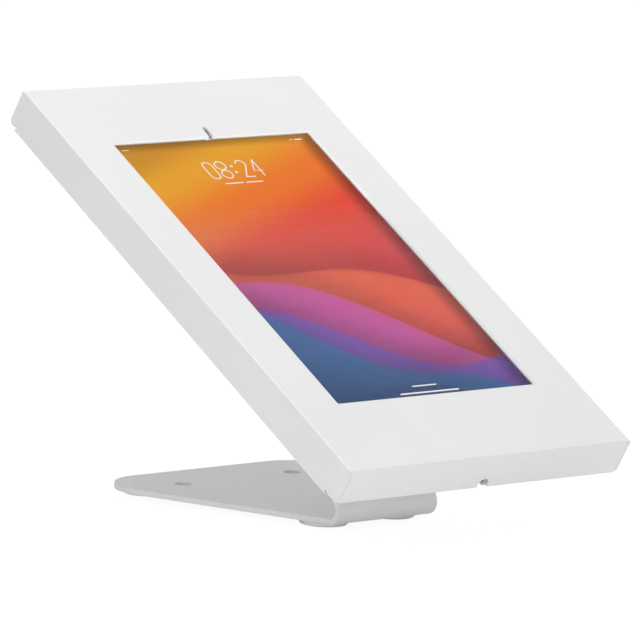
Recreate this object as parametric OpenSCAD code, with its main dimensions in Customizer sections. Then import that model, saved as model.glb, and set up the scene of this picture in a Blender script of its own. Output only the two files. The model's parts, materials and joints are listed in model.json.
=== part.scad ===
// Desk kiosk stand for a tablet: a bent steel stand carries a lockable sheet-steel case on a swivel.
// +X is to the user's right, +Y away from the user and +Z up, with the rubber feet on z = 0.
// Pieces of the case are drawn in the case's own frame: x across it, y up its face, z out of its
// face, with z = 0 on its back and the swivel's axis at x = y = 0.

/* [Stand plate] */
// Thickness of the stand's sheet
plate_t = 3; // [2:0.5:4]
// Depth of the foot plate, from the front of the fold to the rear edge
plate_depth = 155; // [150:1:200]
// Width of the foot plate's rear edge between its sharp corners
plate_rear_w = 168; // [160:1:220]
// Radius of the foot plate's rear corners
plate_corner_r = 26; // [10:1:30]
// Width of the fold, the arm and the head
arm_w = 69; // [66:1:80]
// Straight length of the arm between its two bends
arm_len = 88; // [80:1:130]
// Slope of the arm above the foot plate, in degrees
arm_slope = 60; // [50:1:70]
// Slope of the case above the foot plate, in degrees
case_slope = 30; // [20:1:40]
// Inside radius of the stand's bends
bend_r = 4.5; // [3:0.5:8]
// Straight length of the head below the swivel's axis
head_reach = 29.5; // [26:0.5:45]

/* [Table holes] */
// Diameter of the holes for table bolts
table_hole_d = 9.5; // [5:0.5:11]
// Distance between the two table holes
table_hole_spacing = 77; // [70:1:82]
// Distance of the table holes from the foot plate's rear edge
table_hole_inset = 32; // [25:1:50]

/* [Feet] */
// Diameter of a rubber foot
foot_d = 26; // [15:1:27]
// Height of a rubber foot
foot_h = 3; // [2:0.5:8]
// Rounding of a foot's lower edge
foot_edge_r = 1.2; // [0.4:0.1:1.8]
// Distance between the front feet
front_foot_spacing = 47; // [40:1:50]
// Distance of the front feet behind the front of the fold
front_foot_y = 24.5; // [23:0.5:40]
// Distance of the rear feet from the foot plate's sharp rear corners, sideways
rear_foot_side = 32; // [28:0.5:40]
// Distance of the rear feet from the foot plate's rear edge
rear_foot_inset = 18; // [15:0.5:25]

/* [Swivel] */
// Diameter of the swivel bolt's shank
swivel_bolt_d = 12; // [8:1:16]
// Diameter of the swivel bolt's low head
swivel_head_d = 26; // [22:1:34]
// Thickness of the swivel bolt's head
swivel_head_t = 3; // [2:0.5:5]
// Distance of the swivel plate's screws from its edges
plate_screw_edge = 8.5; // [6:0.5:15]
// Thickness of the swivel plate
swivel_plate_t = 2.5; // [2.5:0.5:4]
// Corner radius of the swivel plate
swivel_plate_r = 8; // [2:1:12]
// Spacing of the square swivel plate's screws, both ways
swivel_screw_spacing = 75; // [70:1:90]
// Diameter of the plastic friction washers
friction_washer_d = 40; // [30:1:44]
// Thickness of a friction washer
friction_washer_t = 1.5; // [1:0.5:3]
// Diameter of the steel pressure washer
pressure_washer_d = 34; // [26:1:44]
// Thickness of the pressure washer
pressure_washer_t = 2; // [1:0.5:3]
// Outer diameter of the dished spring washer
spring_washer_d = 26; // [23:1:34]
// Sheet thickness of the spring washer
spring_washer_t = 1.2; // [0.8:0.1:2]
// Height of the spring washer's dish above its sheet
spring_dish_h = 0.8; // [0.4:0.1:1.5]
// Size of the swivel nut across its flats
swivel_nut_af = 19; // [17:1:26]
// Height of the swivel nut
swivel_nut_h = 10; // [6:0.5:14]
// How far the bolt shows beyond its nut
bolt_tail = 1.5; // [0.5:0.5:4]
// Diameter of the pin that stops the swivel
stop_pin_d = 5; // [3:0.5:5]
// Distance of the stop pin from the swivel's axis
stop_pin_reach = 27; // [26:0.5:27]
// Swivel's turn each way from upright, in degrees
swivel_turn = 90; // [45:5:90]

/* [Screws] */
// Shank diameter of the swivel plate's screws
plate_screw_d = 4; // [3:0.5:5]
// Head diameter of the swivel plate's countersunk screws
plate_screw_head_d = 7.5; // [7:0.5:8]
// Length of the swivel plate's screws
plate_screw_len = 8; // [7:0.5:9]
// Diameter of the clinch nuts inside the tray
clinch_nut_d = 8; // [7:0.5:10]
// Height of the clinch nuts
clinch_nut_h = 3; // [2:0.5:4]
// Shank diameter of the corner brackets' screws
bracket_screw_d = 3; // [2:0.5:3]
// Head diameter of the corner brackets' countersunk screws
bracket_screw_head_d = 5.5; // [4.5:0.5:5.5]
// Length of the corner brackets' screws
bracket_screw_len = 8; // [6:0.5:10]
// Share of a countersunk head's depth that its hexagon socket takes
socket_share = 0.85; // [0.5:0.05:0.95]
// Size of a hexagon socket as a share of its screw's shank
socket_af_share = 0.65; // [0.5:0.05:0.7]

/* [Front cover] */
// Room from the tablet's sides to the case's sides
side_room = 21.6; // [20:0.1:45]
// Room from the tablet's ends to the case's ends
end_room = 37.3; // [36:0.1:75]
// Depth of the case from its back to its face
case_d = 23; // [22:0.5:40]
// Thickness of the cover's sheet
cover_t = 1.5; // [1:0.1:2]
// Outside radius of the cover's tight bends
cover_bend_r = 1; // [0.8:0.1:1.8]
// Height of the end walls' rear edges above the case's back
end_wall_step = 2; // [1.5:0.1:3]
// Width of the cover's return lips, over the side wall
lip_w = 8; // [5:0.5:9]
// Length of the lips' relief at the top corners
lip_relief_top = 5.5; // [4:0.5:15]
// Length of the lips' relief at the bottom corners
lip_relief_bottom = 10; // [4:0.5:20]
// How far the screen window's edges lap over the lit display
window_lap = 1.2; // [0.2:0.1:4]
// Corner radius of the screen window
window_r = 0.8; // [0.2:0.1:4]
// Height of the window's and tablet's centre above the swivel's axis
window_up = 1.5; // [0:0.1:5]
// Width of the front camera's slot above the window
camera_slot_w = 3.2; // [2:0.1:6]
// Length of the front camera's slot
camera_slot_len = 8.6; // [7:0.1:9]
// Width of the cable notch in the bottom wall
notch_w = 7; // [4:0.5:20]
// Depth of the cable notch from the bottom wall's rear edge
notch_depth = 5.5; // [4:0.5:10]
// Offset of the cable notch from the middle
notch_x = 2; // [-20:1:20]
// Diameter of the relief holes where the walls and lips end
corner_hole_d = 1.6; // [0.8:0.1:2]
// Width of the seams where the end walls meet the side walls
seam_w = 0.3; // [0.1:0.05:0.5]
// Depth of those seams
seam_depth = 0.5; // [0.2:0.1:0.8]

/* [Rear tray] */
// Thickness of the tray's sheet
tray_t = 1.5; // [1.5:0.1:2]
// Height of the tray's flanges over its back
tray_flange_h = 8; // [7:0.5:9]
// Outside radius of the tray's bends
tray_bend_r = 2; // [1.5:0.1:3]
// Depth of the cable notch in the tray's floor
tray_notch_depth = 9; // [6:0.5:12]

/* [Tablet] */
// Width of the tablet
tablet_w = 151.8; // [144:0.1:155]
// Height of the tablet
tablet_h = 247.4; // [240:0.1:250]
// Thickness of the tablet
tablet_t = 7.5; // [6:0.1:9]
// Corner radius of the tablet
tablet_corner_r = 8; // [3:0.5:12]
// Thickness of the tablet's glass
glass_t = 0.8; // [0.5:0.1:1.5]
// Rim of the tablet's shell round its glass
glass_rim = 0.6; // [0.3:0.1:1.5]
// Border beside the lit display
screen_border_side = 5.5; // [4:0.1:12]
// Border above and below the lit display
screen_border_end = 11.5; // [10.5:0.1:25]
// Thickness of the display panel
display_t = 1.6; // [0.8:0.1:2.5]
// Diameter of the front camera
camera_d = 3; // [2:0.1:4]
// Depth of the front camera below the glass
camera_t = 2.4; // [1:0.1:3]
// Height of the front camera above the window's edge
camera_up = 5.8; // [5:0.1:6]

/* [Tablet supports] */
// Length of a corner bracket's legs inside the tablet's corner
bracket_len = 30; // [22:1:45]
// Width of the brackets' ledges under the tablet
ledge_w = 12; // [9:0.5:15]
// Thickness of the brackets' walls beside the tablet
bracket_wall = 4; // [2:0.5:6]
// Height of the brackets' walls above the tablet's back
bracket_lap = 5; // [2:0.5:6]
// Width of the foam pads behind the tablet
pad_w = 108; // [60:1:120]
// Height of the foam pads behind the tablet
pad_h = 26; // [15:1:40]
// Distance of the foam pads' middles from the tablet's ends
pad_inset = 55.5; // [45:0.5:58]
// Thickness of the foam seal round the window
seal_t = 1; // [0.5:0.1:2]
// Inset of the seal from the window's edge and from the tablet's edge
seal_inset = 0.8; // [0.3:0.1:1.5]

/* [Cover hinges] */
// Length of a hinge
hinge_len = 50; // [40:1:70]
// Distance of the hinges' middles from the case's sides
hinge_inset = 37.5; // [36:0.5:60]
// Length of a hinge's middle knuckle
knuckle_len = 20; // [14:1:26]
// Diameter of the hinge knuckles
knuckle_d = 4.5; // [4:0.1:5]
// Diameter of the hinge pins
hinge_pin_d = 2.5; // [1.5:0.1:3]
// Thickness of the hinge leaves
leaf_t = 1; // [0.6:0.1:1.2]
// Height of the cover's hinge leaves above the hinge axis
cover_leaf_h = 14; // [8:0.5:16]

/* [Lock] */
// Distance of the lock's axis from the case's right side
lock_inset = 37.5; // [30:0.5:60]
// Distance of the lock's axis above the bottom wall's inner face
lock_rise = 20.5; // [18:0.5:22]
// Diameter of the lock's barrel
lock_barrel_d = 16; // [14:0.5:18]
// Diameter of the lock's rear flange
lock_flange_d = 20; // [19:0.5:22]
// Thickness of the lock's rear flange
lock_flange_t = 2; // [1.5:0.1:3]
// Length of the barrel from the case's back
lock_barrel_len = 11; // [9:0.5:12]
// Size of the lock nut across its flats
lock_nut_af = 19; // [19:0.5:22]
// Height of the lock nut
lock_nut_h = 3.5; // [2:0.5:5]
// Diameter of the turning plug
plug_d = 11; // [8:0.5:12]
// Diameter of the plug's face
plug_face_d = 13; // [12.5:0.5:14]
// Thickness of the plug's face
plug_face_t = 1.4; // [0.8:0.1:1.8]
// Width of the keyway
keyway_w = 1.6; // [1:0.1:2.5]
// Height of the keyway
keyway_h = 7; // [5:0.5:9]
// Depth of the keyway
keyway_depth = 8; // [4:0.5:10]
// Size of the plug's square end
plug_square = 6; // [5:0.5:7]
// Thickness of the lock's cam
cam_t = 2.5; // [1.5:0.1:3]
// Gap from the turned cam's end to the keeper's foot
cam_clear = 1; // [0.5:0.1:3]
// Width of the cam
cam_w = 12; // [10:0.5:13]
// Depth of the hexagon socket in the cam's screw
cam_socket_depth = 1.2; // [0.8:0.1:1.4]
// Head diameter of the cam's screw
cam_screw_head_d = 9; // [8:0.5:10]
// Head height of the cam's screw
cam_screw_head_t = 2; // [1.5:0.1:2.5]
// Shank diameter of the cam's screw
cam_screw_d = 4; // [3:0.5:4]
// Shank length of the cam's screw
cam_screw_len = 8; // [6:0.5:10]
// Width of the keeper that the cam turns behind
keeper_w = 28; // [20:1:40]
// Gap from the keeper's lip to the lock's barrel
lip_clear = 2; // [1:0.1:4]
// Height of the keeper's foot on the bottom wall
keeper_h = 10; // [8:0.5:10]
// Thickness of the keeper's sheet
keeper_t = 1.5; // [1:0.1:2]

/* [Clearances] */
// Radial clearance of a pin or bolt in its bore
running_gap = 0.05; // [0.02:0.01:0.1]
// Gap between flat faces that slide past each other
face_gap = 0.1; // [0.05:0.05:0.3]
// Gap round moving pieces that stay clear of each other
moving_gap = 0.3; // [0.2:0.05:0.6]
// Gap between the tray and the cover that swings past it
tray_gap = 0.75; // [0.5:0.05:1.5]
// Gap between the tablet's sides and what holds it
tablet_gap = 0.3; // [0.1:0.05:0.6]

/* [Hidden] */
$fn = 64;

// Overlap that lets a cut run past a face
cut = 1;
// How far a round stands proud of the straight edge that it meets, so that the two always cross
bend_lap = 0.002;

// The case is built round the tablet, and its window round the tablet's display
case_w = tablet_w + 2 * side_room;
case_h = tablet_h + 2 * end_room;
display_w = tablet_w - 2 * screen_border_side;
display_h = tablet_h - 2 * screen_border_end;
window_w = display_w - 2 * window_lap;
window_h = display_h - 2 * window_lap;
pad_spacing = tablet_h - 2 * pad_inset;
swivel_plate_w = swivel_screw_spacing + 2 * plate_screw_edge;

// Outside radius of the stand's bends
bend_out = bend_r + plate_t;
// Bend centres in the stand's section: y behind the front of the fold, z above the plate's underside
fold_c = [bend_out, bend_out];
head_c = fold_c + arm_len * [cos(arm_slope), sin(arm_slope)];
// Distance from the head's front face to the case's back
stack_front = friction_washer_t + face_gap + swivel_plate_t;
// The case's origin in the same section
case_c = head_c + head_reach * [cos(case_slope), sin(case_slope)]
    + (bend_out + stack_front) * [-sin(case_slope), cos(case_slope)];

// Rear edge of the cover's top and bottom walls
wall_back = end_wall_step;
// The whole object's reach in y from the case's origin, which centres it over the frame's origin
reach_front = (case_h / 2 - cover_bend_r) * cos(case_slope) + (case_d - cover_bend_r) * sin(case_slope)
    + cover_bend_r;
reach_rear = case_h / 2 * cos(case_slope) - wall_back * sin(case_slope);
fold_y = (reach_front - reach_rear) / 2 - case_c[0];

// Places on the foot plate
table_hole_y = plate_depth - table_hole_inset;
rear_foot_spacing = plate_rear_w - 2 * rear_foot_side;
rear_foot_y = plate_depth - rear_foot_inset;
// Start of the foot plate's taper, its angle and the centres of the rear corners
taper_y = bend_out + cut;
taper = atan2((plate_rear_w - arm_w) / 2, plate_depth - taper_y);
corner_x = plate_rear_w / 2 - plate_corner_r * tan(45 + taper / 2);
corner_y = plate_depth - plate_corner_r;

// Faces of the swivel's stack below the case's back
head_front = -stack_front;
head_back = head_front - plate_t;
rear_washer_back = head_back - friction_washer_t;
pressure_front = rear_washer_back - face_gap;
spring_front = pressure_front - pressure_washer_t;
spring_total = spring_washer_t + spring_dish_h;
nut_front = spring_front - spring_total;
bolt_end = nut_front - swivel_nut_h - bolt_tail;
stop_slot_r = stop_pin_d / 2 + moving_gap;

// Hinge axis inside the top wall
hinge_x = case_w / 2 - hinge_inset;
knuckle_r = knuckle_d / 2;
wall_top = case_h / 2 - cover_t;
wall_side = case_w / 2 - cover_t;
hinge_y = wall_top - knuckle_r - moving_gap;
hinge_z = knuckle_r + moving_gap;
leaf_clear = knuckle_r + moving_gap;
end_knuckle_len = (hinge_len - knuckle_len) / 2 - moving_gap;

// Tray between the cover's lips
tray_x = case_w / 2 - lip_w - tray_gap;
tray_top = hinge_y - knuckle_r - moving_gap;
tray_bottom = -(wall_top - tray_gap);

// Tablet behind the cover's face
face_inside = case_d - cover_t;
glass_front = face_inside - seal_t - moving_gap;
glass_back = glass_front - glass_t;
tablet_back = glass_front - tablet_t;
bracket_top = tablet_back + bracket_lap;
window_top = window_up + window_h / 2;

// Lock beside the cable, with its cam above the keeper's lip
lock_x = case_w / 2 - lock_inset;
lock_y = -wall_top + lock_rise;
cam_reach = lock_rise - keeper_t - cam_clear;
keeper_lip = lock_rise - keeper_t - lock_barrel_d / 2 - lip_clear;
cam_back = lock_barrel_len + moving_gap;
cam_front = cam_back + cam_t;
keeper_top = cam_back - 2 * moving_gap;
keeper_back = keeper_top - keeper_t;

white = [0.93, 0.93, 0.92];
zinc = [0.72, 0.73, 0.74];
rubber = [0.62, 0.62, 0.62];
nylon = [0.9, 0.88, 0.82];
foam = [0.16, 0.16, 0.17];
black = [0.05, 0.05, 0.06];
steel = [0.55, 0.56, 0.57];
silver = [0.82, 0.83, 0.84];

// Frames
module in_stand() translate([0, fold_y, foot_h]) children();
module in_case()
    translate([0, fold_y + case_c[0], foot_h + case_c[1]]) rotate([case_slope, 0, 0]) children();
module at_tablet() translate([0, window_up, 0]) children();
module at_lock() translate([lock_x, lock_y, 0]) children();
module at_hinge(side) translate([side * hinge_x, hinge_y, hinge_z]) children();

// Shared flat shapes
module round_rect(w, h, r) {
    square([w - 2 * r, h], center = true);
    square([w, h - 2 * r], center = true);
    for (x = [-1, 1], y = [-1, 1])
        translate([x * (w / 2 - r), y * (h / 2 - r)]) circle(r);
}
module across(length) rotate([90, 0, 90]) linear_extrude(length, center = true) children();
module washer(d, bore, t) difference() {
    cylinder(d = d, h = t);
    translate([0, 0, -cut]) cylinder(d = bore, h = t + 2 * cut);
}
module hexagon(af, h) cylinder(d = af / cos(30), h = h, $fn = 6);
// Countersunk screw that points along +z with its head flush at z = 0
module countersunk(d, head_d, length) {
    cylinder(d1 = head_d, d2 = d, h = (head_d - d) / 2);
    cylinder(d = d, h = length);
}
module socket_screw(d, head_d, length) difference() {
    countersunk(d, head_d, length);
    translate([0, 0, -cut]) hexagon(socket_af_share * d, socket_share * (head_d - d) / 2 + cut);
}

// Stand
module foot_plate_outline() {
    side = [corner_x + plate_corner_r * cos(taper), corner_y - plate_corner_r * sin(taper)];
    right = [[arm_w / 2, taper_y], side, [corner_x, plate_depth]];
    polygon(concat(right, [for (i = [2:-1:0]) [-right[i][0], right[i][1]]]));
    for (x = [-1, 1]) translate([x * corner_x, corner_y]) circle(plate_corner_r + bend_lap);
}
// Region behind a line that runs r in front of the bends' centres, along the plate, arm and head
module bend_region(r, plate_run, head_run) {
    arm_n = [-sin(arm_slope), cos(arm_slope)];
    head_n = [-sin(case_slope), cos(case_slope)];
    plate_end = fold_c + [plate_run, 0];
    head_end = head_c + head_run * [cos(case_slope), sin(case_slope)];
    polygon([
        plate_end, plate_end - [0, r], fold_c - [0, r], fold_c + r * arm_n, head_c + r * arm_n,
        head_c + r * head_n, head_end + r * head_n, head_end]);
    translate(fold_c) circle(r + bend_lap);
    translate(head_c) circle(r + bend_lap);
}
module arm_section() difference() {
    bend_region(bend_out, taper_y, head_reach + arm_w);
    bend_region(bend_r, 4 * taper_y, head_reach + 2 * arm_w);
}
// What is cut from the head: its round end, the bolt's hole and the stop pin's slot
module head_cuts() {
    difference() {
        translate([-arm_w, 0]) square([2 * arm_w, 2 * arm_w]);
        circle(arm_w / 2 + bend_lap);
    }
    circle(d = swivel_bolt_d + 2 * running_gap);
    intersection() {
        difference() {
            circle(stop_pin_reach + stop_slot_r);
            circle(stop_pin_reach - stop_slot_r);
        }
        sweep = [for (i = [-1, -0.5, 0, 0.5, 1]) 90 + i * swivel_turn];
        polygon([[0, 0], for (a = sweep) arm_w * [cos(a), sin(a)]]);
    }
    for (i = [-1, 1])
        rotate(90 + i * swivel_turn) translate([stop_pin_reach, 0]) circle(stop_slot_r + bend_lap);
}
module stand_plate() color(white) difference() {
    in_stand() {
        linear_extrude(plate_t) foot_plate_outline();
        across(arm_w) arm_section();
    }
    in_stand() for (x = [-1, 1])
        translate([x * table_hole_spacing / 2, table_hole_y, -cut])
            cylinder(d = table_hole_d, h = plate_t + 2 * cut);
    in_case() translate([0, 0, head_back - cut]) linear_extrude(plate_t + 2 * cut) head_cuts();
}
module foot(side, spacing, y) color(rubber)
    translate([side * spacing / 2, fold_y + y, 0]) rotate_extrude() {
        translate([0, foot_edge_r]) square([foot_d / 2, foot_h - foot_edge_r]);
        square([foot_d / 2 - foot_edge_r, foot_h]);
        translate([foot_d / 2 - foot_edge_r, foot_edge_r]) intersection() {
            circle(foot_edge_r);
            translate([0, -foot_edge_r]) square([foot_edge_r, foot_edge_r]);
        }
    }
module front_friction_washer() color(nylon) in_case() translate([0, 0, head_front])
    washer(friction_washer_d, swivel_bolt_d + 2 * running_gap, friction_washer_t);
module rear_friction_washer() color(nylon) in_case() translate([0, 0, rear_washer_back])
    washer(friction_washer_d, swivel_bolt_d + 2 * running_gap, friction_washer_t);

// Swivel on the case's back
module plate_screw_places()
    for (x = [-1, 1], y = [-1, 1])
        translate([x * swivel_screw_spacing / 2, y * swivel_screw_spacing / 2, -swivel_plate_t]) children();
module swivel_plate() color(white) in_case() difference() {
    translate([0, 0, -swivel_plate_t]) linear_extrude(swivel_plate_t) difference() {
        round_rect(swivel_plate_w, swivel_plate_w, swivel_plate_r);
        circle(d = swivel_bolt_d);
        translate([0, stop_pin_reach]) circle(d = stop_pin_d);
    }
    plate_screw_places() countersunk(plate_screw_d, plate_screw_head_d, plate_screw_len);
}
module swivel_bolt() color(zinc) in_case() {
    translate([0, 0, bolt_end]) cylinder(d = swivel_bolt_d, h = tray_t - bolt_end);
    translate([0, 0, tray_t]) cylinder(d = swivel_head_d, h = swivel_head_t);
}
module pressure_washer() color(zinc) in_case() translate([0, 0, spring_front])
    washer(pressure_washer_d, swivel_bolt_d, pressure_washer_t);
module spring_washer() color(steel) in_case() translate([0, 0, spring_front]) rotate_extrude() polygon([
    [swivel_bolt_d / 2, -spring_dish_h], [spring_washer_d / 2, 0],
    [spring_washer_d / 2, -spring_washer_t], [swivel_bolt_d / 2, -spring_total]]);
module swivel_nut() color(zinc) in_case() translate([0, 0, nut_front - swivel_nut_h]) difference() {
    hexagon(swivel_nut_af, swivel_nut_h);
    translate([0, 0, -cut]) cylinder(d = swivel_bolt_d, h = swivel_nut_h + 2 * cut);
}
module stop_pin() color(zinc) in_case() translate([0, stop_pin_reach, head_back])
    cylinder(d = stop_pin_d, h = -head_back);
module plate_screws() color(zinc) in_case()
    plate_screw_places() socket_screw(plate_screw_d, plate_screw_head_d, plate_screw_len);
module clinch_nuts() color(steel) in_case()
    plate_screw_places() translate([0, 0, swivel_plate_t + tray_t])
        washer(clinch_nut_d, plate_screw_d, clinch_nut_h);

// Tray and what holds the tablet on it
module bracket_screw_places(sx, sy) at_tablet() {
    inner = bracket_len - ledge_w / 2;
    translate([sx * (tablet_w / 2 - inner), sy * (tablet_h / 2 - ledge_w / 2), 0]) children();
    translate([sx * (tablet_w / 2 - ledge_w / 2), sy * (tablet_h / 2 - inner), 0]) children();
}
module all_bracket_screw_places()
    for (sx = [-1, 1], sy = [-1, 1]) bracket_screw_places(sx, sy) children();
// Tray's outer shape, or its inside where inset is the sheet's thickness
module tray_solid(inset) {
    w = 2 * (tray_x - inset);
    h = tray_top - tray_bottom - 2 * inset;
    r = max(tray_bend_r - inset, 0.1);
    intersection() {
        rotate([90, 0, 0]) linear_extrude(h, center = true)
            translate([0, tray_flange_h + inset]) round_rect(w, 2 * tray_flange_h, r);
        across(w) translate([0, tray_flange_h + inset]) round_rect(h, 2 * tray_flange_h, r);
        translate([0, 0, tray_flange_h / 2])
            cube([2 * w, 2 * h, tray_flange_h + (inset > 0 ? 2 * cut : 0)], center = true);
    }
}
module rear_tray() color(white) in_case() difference() {
    translate([0, (tray_top + tray_bottom) / 2, 0]) difference() {
        tray_solid(0);
        tray_solid(tray_t);
    }
    translate([0, 0, -cut]) cylinder(d = swivel_bolt_d, h = tray_t + 2 * cut);
    plate_screw_places() cylinder(d = plate_screw_d, h = swivel_plate_t + tray_t + cut);
    all_bracket_screw_places() countersunk(bracket_screw_d, bracket_screw_head_d, tray_t + cut);
    at_lock() translate([0, 0, -cut]) cylinder(d = lock_barrel_d, h = tray_t + 2 * cut);
    translate([notch_x, tray_bottom, -cut]) linear_extrude(tray_flange_h + 2 * cut) {
        translate([-notch_w / 2, -cut]) square([notch_w, tray_notch_depth - notch_w / 2 + cut]);
        translate([0, tray_notch_depth - notch_w / 2]) circle(d = notch_w);
    }
}
module tablet_outline(extra) round_rect(tablet_w + 2 * extra, tablet_h + 2 * extra, tablet_corner_r + extra);
module bracket(sx, sy) color(black) in_case() difference() {
    at_tablet() difference() {
        translate([0, 0, tray_t]) linear_extrude(bracket_top - tray_t) {
            outer = bracket_len + tablet_gap + bracket_wall;
            leg = ledge_w + tablet_gap + bracket_wall;
            corner = [tablet_w / 2 + tablet_gap + bracket_wall, tablet_h / 2 + tablet_gap + bracket_wall];
            mirror([sx < 0 ? 1 : 0, 0]) mirror([0, sy < 0 ? 1 : 0]) {
                translate(corner - [outer, leg]) square([outer, leg]);
                translate(corner - [leg, outer]) square([leg, outer]);
            }
        }
        translate([0, 0, tablet_back]) linear_extrude(tablet_t) tablet_outline(tablet_gap);
    }
    bracket_screw_places(sx, sy) cylinder(d = bracket_screw_d, h = bracket_screw_len);
}
module bracket_screws() color(zinc) in_case()
    all_bracket_screw_places() socket_screw(bracket_screw_d, bracket_screw_head_d, bracket_screw_len);
module foam_pad(side) color(foam) in_case() at_tablet()
    translate([0, side * pad_spacing / 2, tray_t]) linear_extrude(tablet_back - tray_t)
        square([pad_w, pad_h], center = true);

// Tablet
module camera_place() translate([0, window_top + camera_up, 0]) children();
module tablet_shell() color(silver) in_case() difference() {
    at_tablet() translate([0, 0, tablet_back]) linear_extrude(tablet_t) tablet_outline(0);
    at_tablet() translate([0, 0, glass_back]) linear_extrude(glass_t + cut) tablet_outline(-glass_rim);
    at_tablet() translate([0, 0, glass_back - display_t])
        linear_extrude(display_t + cut) square([display_w, display_h], center = true);
    camera_place() translate([0, 0, glass_back - camera_t]) cylinder(d = camera_d, h = camera_t + cut);
}
module tablet_display() color("darkorange") in_case() at_tablet() translate([0, 0, glass_back - display_t])
    linear_extrude(display_t) square([display_w, display_h], center = true);
module tablet_camera() color(black) in_case() camera_place() translate([0, 0, glass_back - camera_t])
    cylinder(d = camera_d, h = camera_t);
module tablet_glass() color(black) in_case() at_tablet() translate([0, 0, glass_back])
    linear_extrude(glass_t) tablet_outline(-glass_rim - running_gap);

// Hinges inside the top wall
module knuckle(length) rotate([0, 90, 0]) difference() {
    cylinder(d = knuckle_d, h = length, center = true);
    cylinder(d = hinge_pin_d + 2 * running_gap, h = length + 2 * cut, center = true);
}
module end_knuckle_places() for (end = [-1, 1])
    translate([end * (hinge_len - end_knuckle_len) / 2, 0, 0]) children();
module pin_bore() rotate([0, 90, 0])
    cylinder(d = hinge_pin_d + 2 * running_gap, h = hinge_len + 2 * cut, center = true);
module tray_hinge_leaf(side) color(zinc) in_case() at_hinge(side) difference() {
    leaf_back = tray_top - hinge_y;
    leaf_top = tray_flange_h - hinge_z;
    union() {
        end_knuckle_places() {
            knuckle(end_knuckle_len);
            translate([-end_knuckle_len / 2, leaf_back, 0]) cube([end_knuckle_len, leaf_t, leaf_top]);
        }
        translate([-hinge_len / 2, leaf_back, leaf_clear])
            cube([hinge_len, leaf_t, leaf_top - leaf_clear]);
    }
    pin_bore();
}
module cover_hinge_leaf(side) color(zinc) in_case() at_hinge(side) difference() {
    leaf_front = wall_top - hinge_y - leaf_t;
    union() {
        knuckle(knuckle_len);
        translate([-knuckle_len / 2, leaf_front, 0]) cube([knuckle_len, leaf_t, cover_leaf_h]);
        translate([-hinge_len / 2, leaf_front, leaf_clear])
            cube([hinge_len, leaf_t, cover_leaf_h - leaf_clear]);
    }
    pin_bore();
}
module hinge_pin(side) color(steel) in_case() at_hinge(side) rotate([0, 90, 0])
    cylinder(d = hinge_pin_d, h = hinge_len, center = true);

// Lock
module lock_body() color(zinc) in_case() at_lock() difference() {
    union() {
        translate([0, 0, -lock_flange_t]) cylinder(d = lock_flange_d, h = lock_flange_t);
        cylinder(d = lock_barrel_d, h = lock_barrel_len);
    }
    translate([0, 0, -lock_flange_t - cut])
        cylinder(d = plug_d + 2 * running_gap, h = lock_flange_t + lock_barrel_len + 2 * cut);
    translate([0, 0, -lock_flange_t - cut])
        cylinder(d = plug_face_d + 2 * running_gap, h = plug_face_t + face_gap + cut);
}
module lock_nut() color(zinc) in_case() at_lock() translate([0, 0, tray_t]) difference() {
    hexagon(lock_nut_af, lock_nut_h);
    translate([0, 0, -cut]) cylinder(d = lock_barrel_d, h = lock_nut_h + 2 * cut);
}
module cam_hole() translate([-plug_square / 2, -plug_square / 2]) square(plug_square);
module lock_plug() color(steel) in_case() at_lock() difference() {
    union() {
        translate([0, 0, -lock_flange_t]) cylinder(d = plug_face_d, h = plug_face_t);
        translate([0, 0, -lock_flange_t]) cylinder(d = plug_d, h = lock_flange_t + cam_back);
        translate([0, 0, cam_back]) linear_extrude(cam_t) cam_hole();
    }
    translate([0, 0, -lock_flange_t + keyway_depth / 2])
        cube([keyway_w, keyway_h, keyway_depth + cut], center = true);
    translate([0, 0, cam_front - cam_screw_len]) cylinder(d = cam_screw_d, h = cam_screw_len + cut);
}
module lock_cam() color(zinc) in_case() at_lock() translate([0, 0, cam_back]) linear_extrude(cam_t)
    difference() {
        union() {
            circle(d = cam_w);
            translate([0, -cam_w / 2]) square([cam_reach - cam_w / 2, cam_w]);
            translate([cam_reach - cam_w / 2, 0]) circle(d = cam_w);
        }
        cam_hole();
    }
module cam_screw() color(zinc) in_case() at_lock() difference() {
    union() {
        translate([0, 0, cam_front]) cylinder(d = cam_screw_head_d, h = cam_screw_head_t);
        translate([0, 0, cam_front - cam_screw_len]) cylinder(d = cam_screw_d, h = cam_screw_len);
    }
    translate([0, 0, cam_front + cam_screw_head_t - cam_socket_depth])
        hexagon(socket_af_share * cam_screw_d, cam_socket_depth + cut);
}
module lock_keeper() color(zinc) in_case()
    translate([lock_x - keeper_w / 2, -wall_top, keeper_back]) {
        cube([keeper_w, keeper_t, keeper_h]);
        cube([keeper_w, keeper_t + keeper_lip, keeper_t]);
    }

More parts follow.
